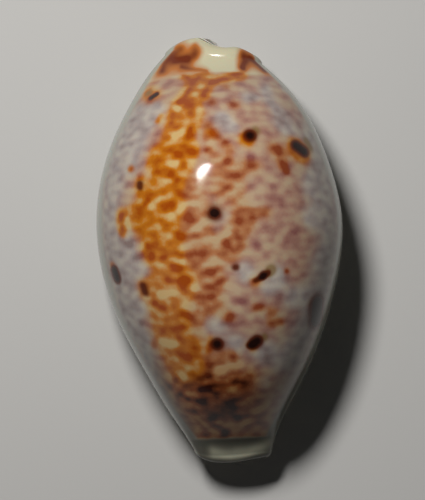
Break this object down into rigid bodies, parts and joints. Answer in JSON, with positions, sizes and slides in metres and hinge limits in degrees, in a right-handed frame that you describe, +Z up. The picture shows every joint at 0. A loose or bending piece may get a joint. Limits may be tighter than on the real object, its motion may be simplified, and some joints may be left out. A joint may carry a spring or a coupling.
{
  "type": "lynx cowrie shell",
  "caption": "Glossy domed cowrie shell with a flat base and a long toothed slit beneath, for display or decoration.",
  "frame": {"origin": "centre of the base, on the surface that the shell rests on", "axes": "+Z up to the top of the back, +Y to the broad posterior end, +X to the columella side, -X to the outer lip side"},
  "size_m": [0.0208, 0.036, 0.0175],
  "materials": {
    "shell_enamel": "glossy natural enamel, fawn and blue-grey with dark spots, white base, orange-red between the teeth"
  },
  "bodies": {
    "root": {"shell": "shell_enamel"}
  },
  "joints": []
}
